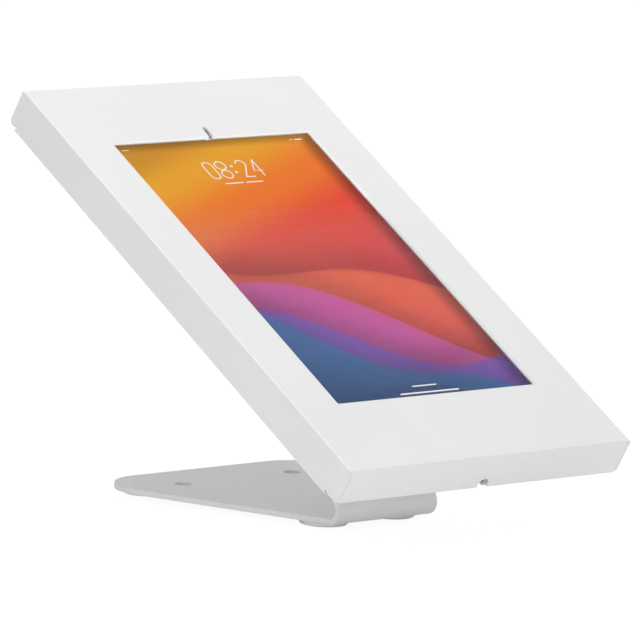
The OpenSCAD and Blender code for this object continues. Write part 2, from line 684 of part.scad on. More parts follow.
// Front cover
module cover_solid(inset) {
    w = case_w - 2 * inset;
    h = case_h - 2 * inset;
    r = max(cover_bend_r - inset, 0.1);
    front = case_d - inset;
    intersection() {
        rotate([90, 0, 0]) linear_extrude(h, center = true)
            translate([0, case_d / 2]) round_rect(w, case_d - 2 * inset, r);
        across(w) translate([0, front - case_d]) round_rect(h, 2 * case_d, r);
    }
}
module window_opening() {
    at_tablet() round_rect(window_w, window_h, window_r);
    camera_slot(0);
}
module camera_slot(extra) translate([0, window_top]) {
    round_end = camera_slot_len - camera_slot_w / 2;
    w = camera_slot_w + 2 * extra;
    translate([-w / 2, -window_r - cut]) square([w, round_end + window_r + cut]);
    translate([0, round_end]) circle(d = w);
}
module front_cover() color(white) in_case() difference() {
    cover_solid(0);
    cover_solid(cover_t);
    // Opening between the lips, and the lips' reliefs at the corners
    translate([-case_w / 2 + lip_w, -wall_top, -cut])
        cube([case_w - 2 * lip_w, 2 * wall_top, cover_t + 2 * cut]);
    translate([-case_w, case_h / 2 - lip_relief_top, -cut])
        cube([2 * case_w, case_h, wall_back + cut]);
    translate([-case_w, -case_h * 3 / 2 + lip_relief_bottom, -cut])
        cube([2 * case_w, case_h, wall_back + cut]);
    translate([0, 0, face_inside - cut]) linear_extrude(cover_t + 2 * cut) window_opening();
    // Cable notch in the bottom wall
    translate([notch_x, -wall_top + cut, 0]) rotate([90, 0, 0]) linear_extrude(cover_t + 2 * cut) {
        straight = wall_back + notch_depth - notch_w / 2;
        translate([-notch_w / 2, -cut]) square([notch_w, straight + cut]);
        translate([0, straight]) circle(d = notch_w);
    }
    // Relief holes that open the rear ends of the corner seams
    for (x = [-1, 1], y = [-1, 1])
        translate([x * (case_w - cover_t) / 2, y * (case_h - cover_t) / 2, wall_back + corner_hole_d / 4])
            rotate([0, 90, 45 * x * y])
                cylinder(d = corner_hole_d, h = 6 * cover_t, center = true);
    // Relief holes at the lips' ends
    for (x = [-1, 1], y = [lip_relief_bottom - case_h / 2, case_h / 2 - lip_relief_top])
        translate([x * case_w / 2, y, wall_back]) rotate([0, 90, 0])
            cylinder(d = corner_hole_d, h = 4 * cover_t, center = true);
    // Seams between the end walls and the side walls
    for (x = [-1, 1], y = [-1, 1])
        translate([x * wall_side, y * case_h / 2, (wall_back + case_d - cover_bend_r) / 2])
            cube([seam_w, 2 * seam_depth, case_d - cover_bend_r - wall_back + corner_hole_d], center = true);
}
module window_seal() color(white) in_case() translate([0, 0, face_inside - seal_t]) linear_extrude(seal_t)
    difference() {
        at_tablet() square([tablet_w - 2 * seal_inset, tablet_h - 2 * seal_inset], center = true);
        at_tablet() square([window_w + 2 * seal_inset, window_h + 2 * seal_inset], center = true);
        camera_slot(seal_inset);
    }

stand_plate();
foot(-1, front_foot_spacing, front_foot_y);  // foot_front_left
foot(1, front_foot_spacing, front_foot_y);  // foot_front_right
foot(-1, rear_foot_spacing, rear_foot_y);  // foot_rear_left
foot(1, rear_foot_spacing, rear_foot_y);  // foot_rear_right
front_friction_washer();
rear_friction_washer();
swivel_plate();
swivel_bolt();
pressure_washer();
spring_washer();
swivel_nut();
stop_pin();
plate_screws();
clinch_nuts();
rear_tray();
bracket(-1, 1);  // bracket_top_left
bracket(1, 1);  // bracket_top_right
bracket(-1, -1);  // bracket_bottom_left
bracket(1, -1);  // bracket_bottom_right
bracket_screws();
foam_pad(1);  // foam_pad_upper
foam_pad(-1);  // foam_pad_lower
tablet_shell();
tablet_display();
tablet_camera();
tablet_glass();
tray_hinge_leaf(-1);  // tray_hinge_leaf_left
tray_hinge_leaf(1);  // tray_hinge_leaf_right
hinge_pin(-1);  // hinge_pin_left
hinge_pin(1);  // hinge_pin_right
lock_body();
lock_nut();
lock_plug();
lock_cam();
cam_screw();
front_cover();
window_seal();
cover_hinge_leaf(-1);  // cover_hinge_leaf_left
cover_hinge_leaf(1);  // cover_hinge_leaf_right
lock_keeper();
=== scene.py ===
# Looks for a desk kiosk stand: a white steel case with a tablet behind its window, on a bent steel stand.
# All lengths are in metres. Places on the case are given in the case's own frame: x across it, y up its face
# and z out of its face, with z = 0 on its back and the swivel's axis at x = y = 0.
import json
import math

import bmesh
import bpy
from mathutils import Matrix, Vector


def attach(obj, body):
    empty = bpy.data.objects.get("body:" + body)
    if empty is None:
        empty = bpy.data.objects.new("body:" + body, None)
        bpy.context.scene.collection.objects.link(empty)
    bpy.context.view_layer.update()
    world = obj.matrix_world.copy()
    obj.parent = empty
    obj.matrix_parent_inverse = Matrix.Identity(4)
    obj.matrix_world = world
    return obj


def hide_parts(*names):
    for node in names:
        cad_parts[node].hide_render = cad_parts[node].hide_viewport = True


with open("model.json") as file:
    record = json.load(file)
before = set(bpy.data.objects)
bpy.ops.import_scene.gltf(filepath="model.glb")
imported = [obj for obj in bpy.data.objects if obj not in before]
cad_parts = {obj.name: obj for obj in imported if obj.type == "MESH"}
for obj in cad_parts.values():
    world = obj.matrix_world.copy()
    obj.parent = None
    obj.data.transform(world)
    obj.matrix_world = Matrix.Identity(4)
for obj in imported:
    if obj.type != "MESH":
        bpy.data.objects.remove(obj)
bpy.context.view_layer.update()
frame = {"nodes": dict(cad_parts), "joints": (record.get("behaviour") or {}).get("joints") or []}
parts = frame["nodes"]

swivel = next(j for j in frame["joints"] if j["name"] == "case_swivel")
case_slope = math.atan2(-swivel["axis"][1], swivel["axis"][2])
CASE = Matrix.Translation(Vector(swivel["pos_m"])) @ Matrix.Rotation(case_slope, 4, "X")
TO_CASE = CASE.inverted()


def case_places(name):
    """A node's points in the case's frame."""
    return [TO_CASE @ v.co for v in parts[name].data.vertices]


def case_box(name):
    """Lowest and highest corner of a node in the case's frame."""
    places = case_places(name)
    low = Vector([min(p[i] for p in places) for i in range(3)])
    high = Vector([max(p[i] for p in places) for i in range(3)])
    return low, high


glass_low, glass_high = case_box("tablet_glass")
display_low, display_high = case_box("tablet_display")
camera_low, camera_high = case_box("tablet_camera")
screen_up = (display_low.y + display_high.y) / 2
camera_up = (camera_low.y + camera_high.y) / 2


# Node helpers
def put(tree, kind, sockets=None, **settings):
    """Adds a node. A socket's value may be another node's output, which is then linked."""
    made = tree.nodes.new(kind)
    for name, value in settings.items():
        setattr(made, name, value)
    for key, value in (sockets or {}).items():
        if isinstance(value, bpy.types.NodeSocket):
            tree.links.new(value, made.inputs[key])
        else:
            made.inputs[key].default_value = value
    return made


def sums(tree, operation, a, b=0.0):
    """Result of an operation on one or two values."""
    return put(tree, "ShaderNodeMath", {0: a, 1: b}, operation=operation).outputs[0]


def colours(tree, factor, a, b, blend="MIX"):
    """Mixes two colours by a factor."""
    sockets = {0: factor, 6: a, 7: b}
    return put(tree, "ShaderNodeMix", sockets, data_type="RGBA", blend_type=blend).outputs[2]


def ranged(tree, value, low, high, to_low, to_high, kind="LINEAR"):
    """Moves a value from one range to another, and holds it there."""
    sockets = {"Value": value, "From Min": low, "From Max": high, "To Min": to_low, "To Max": to_high}
    return put(tree, "ShaderNodeMapRange", sockets, interpolation_type=kind).outputs[0]


def noise(tree, vector, scale, detail=2.0):
    """Values of a noise texture."""
    sockets = {"Vector": vector, "Scale": scale, "Detail": detail}
    return put(tree, "ShaderNodeTexNoise", sockets).outputs["Fac"]


SOCKET = {"value": "NodeSocketFloat", "colour": "NodeSocketColor", "vector": "NodeSocketVector"}


def shader_group(name, takes, gives):
    """A new shader group, with its own input and output sockets."""
    tree = bpy.data.node_groups.new(name, "ShaderNodeTree")
    for label, kind in takes.items():
        tree.interface.new_socket(label, in_out="INPUT", socket_type=SOCKET[kind])
    for label, kind in gives.items():
        tree.interface.new_socket(label, in_out="OUTPUT", socket_type=SOCKET[kind])
    return tree, tree.nodes.new("NodeGroupInput").outputs, tree.nodes.new("NodeGroupOutput").inputs


SKIN_GIVES = {"Color": "colour", "Roughness": "value", "Height": "value"}
NOISE_LOW, NOISE_HIGH = 0.3, 0.7  # most of a noise texture's values lie between these
FINER_GRAIN = 3.1  # scale of a skin's finest grain over its grain
GRAIN_SHARE = 0.75  # share of the grain in a skin's height, the rest being the finest grain's


def build_fine_skin():
    """Fine skin that coats, plastics and rubber share: soft clouds of tone over a small grain."""
    takes = {
        "Vector": "vector", "Cloud Scale": "value", "Grain Scale": "value",
        "Light": "colour", "Dark": "colour", "Rough Low": "value", "Rough High": "value",
    }
    tree, take, give = shader_group("fine_skin", takes, SKIN_GIVES)
    cloud = noise(tree, take["Vector"], take["Cloud Scale"], detail=3.0)
    grain = noise(tree, take["Vector"], take["Grain Scale"], detail=2.0)
    finer = noise(tree, take["Vector"], sums(tree, "MULTIPLY", take["Grain Scale"], FINER_GRAIN), detail=1.0)
    coarse_part = sums(tree, "MULTIPLY", grain, GRAIN_SHARE)
    finer_part = sums(tree, "MULTIPLY", finer, 1 - GRAIN_SHARE)
    tone = ranged(tree, cloud, NOISE_LOW, NOISE_HIGH, 0.0, 1.0)
    tree.links.new(colours(tree, tone, take["Light"], take["Dark"]), give["Color"])
    rough = ranged(tree, grain, NOISE_LOW, NOISE_HIGH, take["Rough Low"], take["Rough High"])
    tree.links.new(rough, give["Roughness"])
    tree.links.new(sums(tree, "ADD", coarse_part, finer_part), give["Height"])
    return tree


LINE_STRETCH = 0.04  # how fast a metal's lines change along themselves, over how fast across
LINE_SHARE = 0.7  # share of the lines in a metal's tone, the rest being its crystals'
CRYSTAL_SCALE = 0.12  # scale of the crystals over the lines


def build_metal_lines():
    """Lines that rolling, drawing or polishing leave on metal, along the vector's first axis."""
    takes = {
        "Vector": "vector", "Line Scale": "value", "Light": "colour", "Dark": "colour",
        "Rough Low": "value", "Rough High": "value",
    }
    tree, take, give = shader_group("metal_lines", takes, SKIN_GIVES)
    stretch = {0: take["Vector"], 1: (LINE_STRETCH, 1.0, 1.0)}
    drawn = put(tree, "ShaderNodeVectorMath", stretch, operation="MULTIPLY").outputs[0]
    lines = noise(tree, drawn, take["Line Scale"], detail=4.0)
    crystals = put(tree, "ShaderNodeTexVoronoi", {
        "Vector": take["Vector"], "Scale": sums(tree, "MULTIPLY", take["Line Scale"], CRYSTAL_SCALE)})
    shade = put(tree, "ShaderNodeSeparateColor", {0: crystals.outputs["Color"]}).outputs[0]
    line_part = sums(tree, "MULTIPLY", lines, LINE_SHARE)
    crystal_part = sums(tree, "MULTIPLY", shade, 1 - LINE_SHARE)
    tone = ranged(tree, sums(tree, "ADD", line_part, crystal_part), NOISE_LOW, NOISE_HIGH, 0.0, 1.0)
    tree.links.new(colours(tree, tone, take["Light"], take["Dark"]), give["Color"])
    rough = ranged(tree, lines, NOISE_LOW, NOISE_HIGH, take["Rough Low"], take["Rough High"])
    tree.links.new(rough, give["Roughness"])
    tree.links.new(lines, give["Height"])
    return tree


PIT_END, WALL_START = 0.15, 0.55  # distances from a foam cell's middle


def build_foam_cells():
    """Open cells of foam."""
    takes = {"Vector": "vector", "Cell Scale": "value", "Wall": "colour", "Pit": "colour"}
    tree, take, give = shader_group("foam_cells", takes, {"Color": "colour", "Height": "value"})
    cells = put(tree, "ShaderNodeTexVoronoi", {"Vector": take["Vector"], "Scale": take["Cell Scale"]})
    pit = ranged(tree, cells.outputs["Distance"], PIT_END, WALL_START, 0.0, 1.0, "SMOOTHSTEP")
    tree.links.new(colours(tree, pit, take["Pit"], take["Wall"]), give["Color"])
    tree.links.new(pit, give["Height"])
    return tree


CREST_SHADE = 0.72  # brightness along a hill's crest of what is behind it
CREST_REACH = 0.3  # how far over the crest that shade reaches, in half heights of the picture
DEPTH_REACH = 0.9  # how far below the crest a hill has its depth colour


def build_screen_hill():
    """One row of hills of the screen's picture, with a soft shade along its crest on what is behind it."""
    takes = {
        "Across": "value", "Up": "value", "Behind": "colour", "Crest": "colour", "Depth": "colour",
        "Level": "value", "Slope": "value", "Swing": "value", "Pitch": "value", "Phase": "value",
        "Soft": "value",
    }
    tree, take, give = shader_group("screen_hill", takes, {"Color": "colour"})
    turn = sums(tree, "ADD", sums(tree, "MULTIPLY", take["Across"], take["Pitch"]), take["Phase"])
    roll = sums(tree, "MULTIPLY", sums(tree, "SINE", turn), take["Swing"])
    edge = sums(tree, "ADD", sums(tree, "MULTIPLY", take["Across"], take["Slope"]), take["Level"])
    below = sums(tree, "SUBTRACT", sums(tree, "ADD", edge, roll), take["Up"])
    mask = ranged(tree, below, 0.0, take["Soft"], 0.0, 1.0, "SMOOTHSTEP")
    shade = ranged(tree, below, -CREST_REACH, 0.0, 1.0, CREST_SHADE, "SMOOTHSTEP")
    grey = put(tree, "ShaderNodeCombineColor", {0: shade, 1: shade, 2: shade}).outputs[0]
    behind = colours(tree, 1.0, take["Behind"], grey, "MULTIPLY")
    fill = colours(tree, ranged(tree, below, 0.0, DEPTH_REACH, 0.0, 1.0), take["Crest"], take["Depth"])
    tree.links.new(colours(tree, mask, behind, fill), give["Color"])
    return tree


FINE_SKIN = build_fine_skin()
METAL_LINES = build_metal_lines()
FOAM_CELLS = build_foam_cells()
SCREEN_HILL = build_screen_hill()


def linear(r, g, b):
    """Colour from sRGB values of 0 to 255."""
    def one(c):
        c = c / 255
        return c / 12.92 if c <= 0.04045 else ((c + 0.055) / 1.055) ** 2.4
    return (one(r), one(g), one(b), 1.0)


def ramp_colours(tree, value, stops, kind):
    """Colours along a value of 0 to 1, from stops of a place and an sRGB colour."""
    made = put(tree, "ShaderNodeValToRGB", {"Fac": value})
    ramp = made.color_ramp
    ramp.interpolation = kind
    for end, (place, tone) in zip(ramp.elements, (stops[0], stops[-1])):
        end.position, end.color = place, linear(*tone)
    for place, tone in stops[1:-1]:
        ramp.elements.new(place).color = linear(*tone)
    return made.outputs["Color"]


def case_map(tree, places, up, scale=(1.0, 1.0, 1.0)):
    """Object coordinates turned to the case's frame, from a middle up its face."""
    return put(tree, "ShaderNodeMapping", {
        "Vector": places, "Location": CASE @ Vector((0.0, up, 0.0)), "Rotation": (case_slope, 0.0, 0.0),
        "Scale": scale}, vector_type="TEXTURE").outputs[0]


def start_material(name, **fixed):
    """A material with a Principled shader, its fixed values set, and Object coordinates."""
    made = bpy.data.materials.new(name)
    made.use_nodes = True
    tree = made.node_tree
    shader = tree.nodes["Principled BSDF"]
    for key, value in fixed.items():
        shader.inputs[key.replace("_", " ")].default_value = value
    places = put(tree, "ShaderNodeTexCoord").outputs["Object"]
    return made, tree, shader, places


def finish_skin(tree, shader, skin, depth, strength=0.5):
    """Feeds a skin group's colour, roughness and height to the shader."""
    tree.links.new(skin.outputs["Color"], shader.inputs["Base Color"])
    if "Roughness" in skin.outputs:
        tree.links.new(skin.outputs["Roughness"], shader.inputs["Roughness"])
    bump = put(tree, "ShaderNodeBump", {
        "Strength": strength, "Distance": depth, "Height": skin.outputs["Height"]})
    tree.links.new(bump.outputs["Normal"], shader.inputs["Normal"])


def skin_material(name, light, dark, rough, cloud, grain, depth, strength=0.5, **fixed):
    """A coat, plastic or rubber with the fine skin."""
    made, tree, shader, places = start_material(name, **fixed)
    skin = put(tree, "ShaderNodeGroup", {
        "Vector": places, "Cloud Scale": cloud, "Grain Scale": grain, "Light": light, "Dark": dark,
        "Rough Low": rough[0], "Rough High": rough[1]}, node_tree=FINE_SKIN)
    finish_skin(tree, shader, skin, depth, strength)
    return made


def metal_material(name, light, dark, rough, lines, depth):
    """A bare metal with lines."""
    made, tree, shader, places = start_material(name, Metallic=1.0)
    skin = put(tree, "ShaderNodeGroup", {
        "Vector": places, "Line Scale": lines, "Light": light, "Dark": dark,
        "Rough Low": rough[0], "Rough High": rough[1]}, node_tree=METAL_LINES)
    finish_skin(tree, shader, skin, depth)
    return made


def foam_material(name, wall, pit, rough, cells, depth):
    """A foam with open cells."""
    made, tree, shader, places = start_material(name, Roughness=rough)
    skin = put(tree, "ShaderNodeGroup", {
        "Vector": places, "Cell Scale": cells, "Wall": wall, "Pit": pit}, node_tree=FOAM_CELLS)
    finish_skin(tree, shader, skin, depth, strength=0.8)
    return made


# Finishes
case_coat = skin_material(
    "case_white_coat", linear(239, 239, 239), linear(236, 236, 236), rough=(0.4, 0.5),
    cloud=14.0, grain=1100.0, depth=0.00002, strength=0.35)
stand_coat = skin_material(
    "stand_white_coat", linear(236, 236, 236), linear(232, 232, 232), rough=(0.42, 0.54),
    cloud=18.0, grain=1000.0, depth=0.00002, strength=0.4)
foot_rubber = skin_material(
    "foot_grey_rubber", linear(236, 237, 238), linear(226, 227, 228), rough=(0.62, 0.78),
    cloud=60.0, grain=2400.0, depth=0.00004)
washer_nylon = skin_material(
    "washer_nylon", linear(236, 232, 220), linear(226, 221, 208), rough=(0.4, 0.5),
    cloud=40.0, grain=1800.0, depth=0.00002)
bracket_plastic = skin_material(
    "bracket_black_plastic", linear(34, 34, 36), linear(26, 26, 28), rough=(0.45, 0.6),
    cloud=50.0, grain=1500.0, depth=0.00004)
tablet_silver = skin_material(
    "tablet_silver", linear(206, 208, 210), linear(198, 200, 203), rough=(0.32, 0.4),
    cloud=30.0, grain=5200.0, depth=0.00001, Metallic=0.9)
# The border print is white, greyed as painted shade so the front camera's slot looks shaded.
border_print_with_painted_shade = skin_material(
    "screen_border_print_painted_shade", linear(208, 209, 211), linear(202, 203, 205), rough=(0.35, 0.42),
    cloud=30.0, grain=3000.0, depth=0.000004)
socket_black = skin_material(
    "socket_black", linear(24, 24, 26), linear(16, 16, 17), rough=(0.5, 0.65),
    cloud=80.0, grain=3000.0, depth=0.00002)
zinc_plate = metal_material(
    "zinc_plate", linear(205, 207, 210), linear(172, 175, 180), rough=(0.24, 0.4),
    lines=900.0, depth=0.00002)
spring_steel = metal_material(
    "spring_steel", linear(150, 152, 156), linear(112, 114, 118), rough=(0.26, 0.38),
    lines=1400.0, depth=0.00001)
lock_chrome = metal_material(
    "lock_chrome", linear(226, 227, 229), linear(206, 208, 211), rough=(0.08, 0.16),
    lines=2200.0, depth=0.000004)
weld_steel = metal_material(
    "weld_steel", linear(178, 174, 168), linear(120, 116, 112), rough=(0.34, 0.5),
    lines=1600.0, depth=0.00003)
pad_foam = foam_material(
    "pad_foam", linear(52, 52, 54), linear(20, 20, 21), rough=0.95, cells=1500.0, depth=0.0002)
seal_foam = foam_material(
    "seal_foam", linear(232, 232, 230), linear(206, 206, 204), rough=0.9, cells=2600.0, depth=0.0001)

# The lit screen
SCREEN_GLOW = 1.12  # brightness of its picture
MARK_GLOW = 0.9  # brightness of its clock and bars
WALL_GLOW = 1.5  # brightness of the plain light that it gives the walls round it
SCREEN_DARK = (0.004, 0.004, 0.004, 1.0)  # colour of its surface without the light
# Painted shade that darkens the picture along its top and right edges:
RIGHT_FROM, RIGHT_TO = 0.8, 0.98  # where the shade along the right edge starts and is full, in half widths
TOP_FROM, TOP_TO = 0.92, 1.0  # the same along the top edge, in half heights
RIGHT_SHADE, TOP_SHADE = 0.62, 0.52  # share of the shade where it is full
SHADE_COLOUR = (0.01, 0.006, 0.008, 1.0)
SKY_LEAN = 0.25  # how much the sky's bands lean across the picture
SKY_REACH = 1.1  # how far they reach from its middle, in half heights
SKY_STOPS = [
    (0.0, (190, 130, 34)), (0.1, (216, 150, 38)), (0.24, (220, 110, 36)), (0.38, (215, 64, 42)),
    (0.6, (210, 42, 52)), (1.0, (202, 38, 70))]
# Hills of the picture, back to front: crest and depth colours, level, slope, swing, pitch, phase and softness
SCREEN_HILLS = [
    ((226, 92, 58), (200, 44, 70), -0.06, -0.2, 0.1, 2.3, 0.5, 0.012),
    ((196, 76, 150), (150, 52, 140), -0.34, -0.34, 0.12, 2.6, 2.2, 0.012),
    ((120, 74, 172), (84, 60, 150), -0.56, -0.22, 0.12, 2.9, 3.9, 0.012),
    ((46, 92, 146), (28, 66, 116), -0.7, -0.4, 0.1, 3.2, 5.4, 0.012),
    ((26, 62, 108), (16, 40, 78), -0.93, -0.16, 0.07, 3.6, 1.2, 0.012),
]


def plain_to_walls(tree, shader):
    """Lights the white walls round a lit surface without a tint."""
    plain = put(tree, "ShaderNodeEmission", {"Strength": WALL_GLOW}).outputs[0]
    bounced = sums(tree, "MINIMUM", put(tree, "ShaderNodeLightPath").outputs["Diffuse Depth"], 1.0)
    mixed = put(tree, "ShaderNodeMixShader", {0: bounced, 1: shader.outputs[0], 2: plain})
    tree.links.new(mixed.outputs[0], tree.nodes["Material Output"].inputs["Surface"])


def paint_edge_shade(tree, across, up, colour):
    """Painted shade along the picture's top and right edges."""
    right = ranged(tree, across, RIGHT_FROM, RIGHT_TO, 0.0, RIGHT_SHADE, "SMOOTHSTEP")
    top = ranged(tree, up, TOP_FROM, TOP_TO, 0.0, TOP_SHADE, "SMOOTHSTEP")
    return colours(tree, sums(tree, "MAXIMUM", right, top), colour, SHADE_COLOUR)


def build_screen_picture():
    """The lit display: a warm sky over rows of hills that rise to the left, with painted shade along its top
    and right edges.
    """
    made, tree, shader, places = start_material(
        "screen_picture", Base_Color=SCREEN_DARK, Roughness=0.35, Specular_IOR_Level=0.0,
        Emission_Strength=SCREEN_GLOW)
    half = (display_high - display_low) / 2
    spread = case_map(tree, places, screen_up, (half.x, half.y, 1.0))
    across, up = put(tree, "ShaderNodeSeparateXYZ", {0: spread}).outputs[:2]
    fall = sums(tree, "SUBTRACT", sums(tree, "MULTIPLY", across, SKY_LEAN), up)
    colour = ramp_colours(tree, ranged(tree, fall, -SKY_REACH, SKY_REACH, 0.0, 1.0), SKY_STOPS, "EASE")
    for crest, depth, level, slope, swing, pitch, phase, soft in SCREEN_HILLS:
        hill = put(tree, "ShaderNodeGroup", {
            "Across": across, "Up": up, "Behind": colour, "Crest": linear(*crest), "Depth": linear(*depth),
            "Level": level, "Slope": slope, "Swing": swing, "Pitch": pitch, "Phase": phase, "Soft": soft,
        }, node_tree=SCREEN_HILL)
        colour = hill.outputs["Color"]
    # The picture's colour goes out darkened by painted shade at its top and right edges.
    tree.links.new(paint_edge_shade(tree, across, up, colour), shader.inputs["Emission Color"])
    plain_to_walls(tree, shader)
    return made


screen_picture = build_screen_picture()


def build_screen_mark():
    """Lit white of the clock and the bars."""
    made, tree, shader, places = start_material(
        "screen_mark", Base_Color=SCREEN_DARK, Roughness=0.4, Specular_IOR_Level=0.0,
        Emission_Strength=MARK_GLOW)
    tint = colours(tree, noise(tree, places, 400.0), linear(255, 250, 242), linear(248, 240, 232))
    tree.links.new(tint, shader.inputs["Emission Color"])
    return made


screen_mark = build_screen_mark()

LENS_REACH = 0.0015  # radius of the camera's rings
LENS_STOPS = [(0.0, (14, 16, 30)), (0.4, (6, 6, 8)), (0.75, (38, 38, 42))]


def build_camera_black():
    """Dark glass of the front camera, with rings round its lens."""
    made, tree, shader, places = start_material("camera_black", Coat_Weight=1.0, Coat_Roughness=0.05)
    flatten = {0: case_map(tree, places, camera_up), 1: (1.0, 1.0, 0.0)}
    flat = put(tree, "ShaderNodeVectorMath", flatten, operation="MULTIPLY").outputs[0]
    reach = put(tree, "ShaderNodeVectorMath", {0: flat}, operation="LENGTH").outputs["Value"]
    rings = ramp_colours(tree, ranged(tree, reach, 0.0, LENS_REACH, 0.0, 1.0), LENS_STOPS, "CONSTANT")
    tree.links.new(rings, shader.inputs["Base Color"])
    tree.links.new(ranged(tree, reach, 0.0, LENS_REACH, 0.08, 0.4), shader.inputs["Roughness"])
    return made


camera_black = build_camera_black()

SMEAR_LOW, SMEAR_HIGH = 0.35, 0.7  # noise values between which the glass goes from clean to smeared
SMEAR_ROUGH = 0.03  # roughness of smeared glass


def build_clear_glass():
    """Clear glass that lets the lamps light the border below it."""
    made, tree, shader, places = start_material(
        "tablet_clear_glass", Base_Color=(1.0, 1.0, 1.0, 1.0), Transmission_Weight=1.0, IOR=1.09)
    smear = noise(tree, places, 30.0, detail=3.0)
    rough = ranged(tree, smear, SMEAR_LOW, SMEAR_HIGH, 0.0, SMEAR_ROUGH)
    tree.links.new(rough, shader.inputs["Roughness"])
    clear = put(tree, "ShaderNodeBsdfTransparent").outputs[0]
    path = put(tree, "ShaderNodeLightPath").outputs["Is Shadow Ray"]
    mixed = put(tree, "ShaderNodeMixShader", {0: path, 1: shader.outputs[0], 2: clear})
    tree.links.new(mixed.outputs[0], tree.nodes["Material Output"].inputs["Surface"])
    return made


clear_glass = build_clear_glass()

FINISH = {
    "stand_plate": stand_coat, "swivel_plate": stand_coat, "rear_tray": case_coat, "front_cover": case_coat,
    "foot_front_left": foot_rubber, "foot_front_right": foot_rubber,
    "foot_rear_left": foot_rubber, "foot_rear_right": foot_rubber,
    "front_friction_washer": washer_nylon, "rear_friction_washer": washer_nylon,
    "bracket_top_left": bracket_plastic, "bracket_top_right": bracket_plastic,
    "bracket_bottom_left": bracket_plastic, "bracket_bottom_right": bracket_plastic,
    "spring_washer": spring_steel, "hinge_pin_left": spring_steel, "hinge_pin_right": spring_steel,
    "lock_body": lock_chrome, "lock_plug": lock_chrome,
    "tablet_shell": tablet_silver, "tablet_display": screen_picture, "tablet_camera": camera_black,
    "tablet_glass": clear_glass,
}
# Widths of the edges' rounding
SOFT_EDGES = {
    "stand_plate": 0.0003, "rear_tray": 0.00025, "swivel_plate": 0.00025, "swivel_nut": 0.0002,
    "swivel_bolt": 0.0006, "pressure_washer": 0.0002,
    "lock_body": 0.00025, "lock_nut": 0.0001, "lock_cam": 0.0002, "lock_keeper": 0.0002,
    "tray_hinge_leaf_left": 0.0002, "tray_hinge_leaf_right": 0.0002,
    "cover_hinge_leaf_left": 0.0002, "cover_hinge_leaf_right": 0.0002,
    "bracket_top_left": 0.0001, "bracket_top_right": 0.0001,
    "bracket_bottom_left": 0.0001, "bracket_bottom_right": 0.0001,
}
JOIN_GAP = 0.000002  # points closer than this are one
FLAT_TURN = 0.003  # faces that turn less than this, in radians, are one flat
COPY_FLAT_TURN = 0.01  # the same for a copied node
EDGE_TURN = 0.6  # edges that turn more than this, in radians, are rounded

for name, piece in parts.items():
    for held in piece.material_slots:
        held.material = FINISH.get(name, zinc_plate)


def modify(piece, name, kind, **settings):
    """Adds a modifier with its settings."""
    made = piece.modifiers.new(name, kind)
    for key, value in settings.items():
        setattr(made, key, value)


def soften(piece, width):
    """Rounds a node's sharp edges, as stamping, tumbling and coating do, and shades it evenly."""
    modify(piece, "join", "WELD", merge_threshold=JOIN_GAP)
    modify(piece, "flats", "DECIMATE", decimate_type="DISSOLVE", angle_limit=FLAT_TURN)
    modify(piece, "edges", "BEVEL", width=width, segments=2, limit_method="ANGLE", angle_limit=EDGE_TURN)
    modify(piece, "shading", "WEIGHTED_NORMAL", keep_sharp=False)


for name, width in SOFT_EDGES.items():
    soften(parts[name], width)


# New pieces
def piece_from(name, mesh, finish, body):
    """Links a mesh that is already in the shared frame as a piece on a body."""
    made = bpy.data.objects.new(name, mesh)
    bpy.context.scene.collection.objects.link(made)
    mesh.materials.clear()
    mesh.materials.append(finish)
    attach(made, body)
    return made


def mesh_from(shape, name):
    """Turns a finished bmesh into a named mesh."""
    mesh = bpy.data.meshes.new(name)
    shape.to_mesh(mesh)
    shape.free()
    return mesh


def case_point(shape, x, y, z):
    """Adds a point of the case's frame to a bmesh."""
    return shape.verts.new(CASE @ Vector((x, y, z)))


def merged_copy(name):
    """A copy of a node's mesh with its loose triangles joined and its flat faces whole."""
    shape = bmesh.new()
    shape.from_mesh(parts[name].data)
    bmesh.ops.remove_doubles(shape, verts=shape.verts, dist=JOIN_GAP)
    bmesh.ops.dissolve_limit(shape, angle_limit=COPY_FLAT_TURN, verts=shape.verts, edges=shape.edges)
    return mesh_from(shape, name + "_shape")


# Marks of the screen and print of its border, as flat ribbons and faces
MARK_RISE = 0.00004  # height of the marks over the display
BORDER_RISE = 0.00003  # height of the border print over the glass's back
INK_DEPTH = 0.00002
mark_height = display_high.z + MARK_RISE


def ribbon(shape, line, width, height, closed=False):
    """Adds a flat ribbon of a width along points of the case's frame, at a height out of the face."""
    count = len(line)
    sides = []
    for i, here in enumerate(line):
        before = line[i - 1] if closed or i else here
        after = line[(i + 1) % count] if closed or i < count - 1 else here
        along = (Vector(after) - Vector(before)).normalized()
        normal = Vector((-along.y, along.x)) * (width / 2)
        sides.append([case_point(shape, *(Vector(here) + side * normal), height) for side in (1, -1)])
    for i in range(count if closed else count - 1):
        a, b = sides[i], sides[(i + 1) % count]
        shape.faces.new((a[1], b[1], b[0], a[0]))


def patch(shape, line, height):
    """Adds a flat face inside a line of points of the case's frame, at a height out of the face."""
    shape.faces.new([case_point(shape, x, y, height) for x, y in line])


def print_depth(piece):
    """Gives a flat print the depth of its ink, towards the display."""
    modify(piece, "ink", "SOLIDIFY", thickness=INK_DEPTH, offset=-1.0)


def loop(centre, w, h, steps=40):
    """An upright stadium line."""
    r = w / 2
    points = []
    for i in range(steps):
        angle = 2 * math.pi * i / steps
        lift = (h / 2 - r) * (1 if math.sin(angle) >= 0 else -1)
        points.append((centre[0] + r * math.cos(angle), centre[1] + lift + r * math.sin(angle)))
    return points


def arc(centre, r, start, end, steps):
    """Points along part of a circle, between two angles in degrees."""
    turn = [math.radians(start + (end - start) * i / steps) for i in range(steps + 1)]
    return [(centre[0] + r * math.cos(a), centre[1] + r * math.sin(a)) for a in turn]


def ring(centre, r, steps):
    """Points round a whole circle."""
    return arc(centre, r, 0, 360, steps)[:-1]


